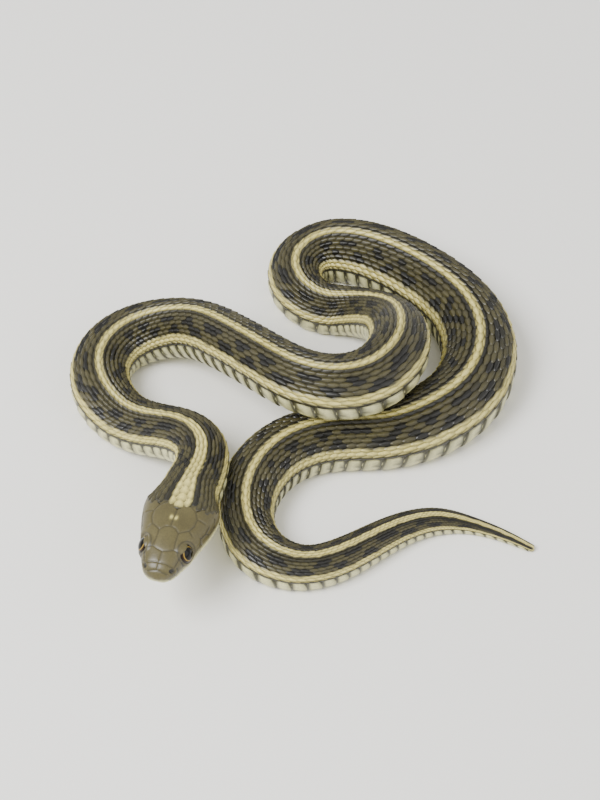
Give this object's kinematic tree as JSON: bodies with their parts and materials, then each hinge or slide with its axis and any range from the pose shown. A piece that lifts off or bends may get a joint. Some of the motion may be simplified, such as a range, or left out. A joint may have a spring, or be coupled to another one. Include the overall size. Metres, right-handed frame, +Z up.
{
  "type": "garter snake",
  "caption": "Still life-size garter snake lying in loops: head and neck held clear of the floor, one bend of the trunk over the coil below, tail laid out to a point.",
  "frame": {"origin": "middle of the snake in plan, at the floor", "axes": "+Z up; -Y towards the snout and the tail's side of the coils; +X towards the tip of the tail"},
  "size_m": [0.121, 0.1287, 0.0312],
  "materials": {
    "body_skin": "keeled scales, satin, striped",
    "head_skin": "smooth shields, satin",
    "jaw_skin": "smooth shields, satin",
    "eye": "wet gloss"
  },
  "bodies": {
    "root": {"head": "head_skin", "lower_jaw": "jaw_skin", "eye_left": "eye", "eye_right": "eye", "neck": "body_skin", "trunk_01": "body_skin", "trunk_02": "body_skin", "trunk_03": "body_skin", "trunk_04": "body_skin", "trunk_05": "body_skin", "trunk_06": "body_skin", "trunk_07": "body_skin", "trunk_08": "body_skin", "trunk_09": "body_skin", "trunk_10": "body_skin", "trunk_11": "body_skin", "trunk_12": "body_skin", "tail_1": "body_skin", "tail_2": "body_skin", "tail_3": "body_skin"}
  },
  "joints": []
}
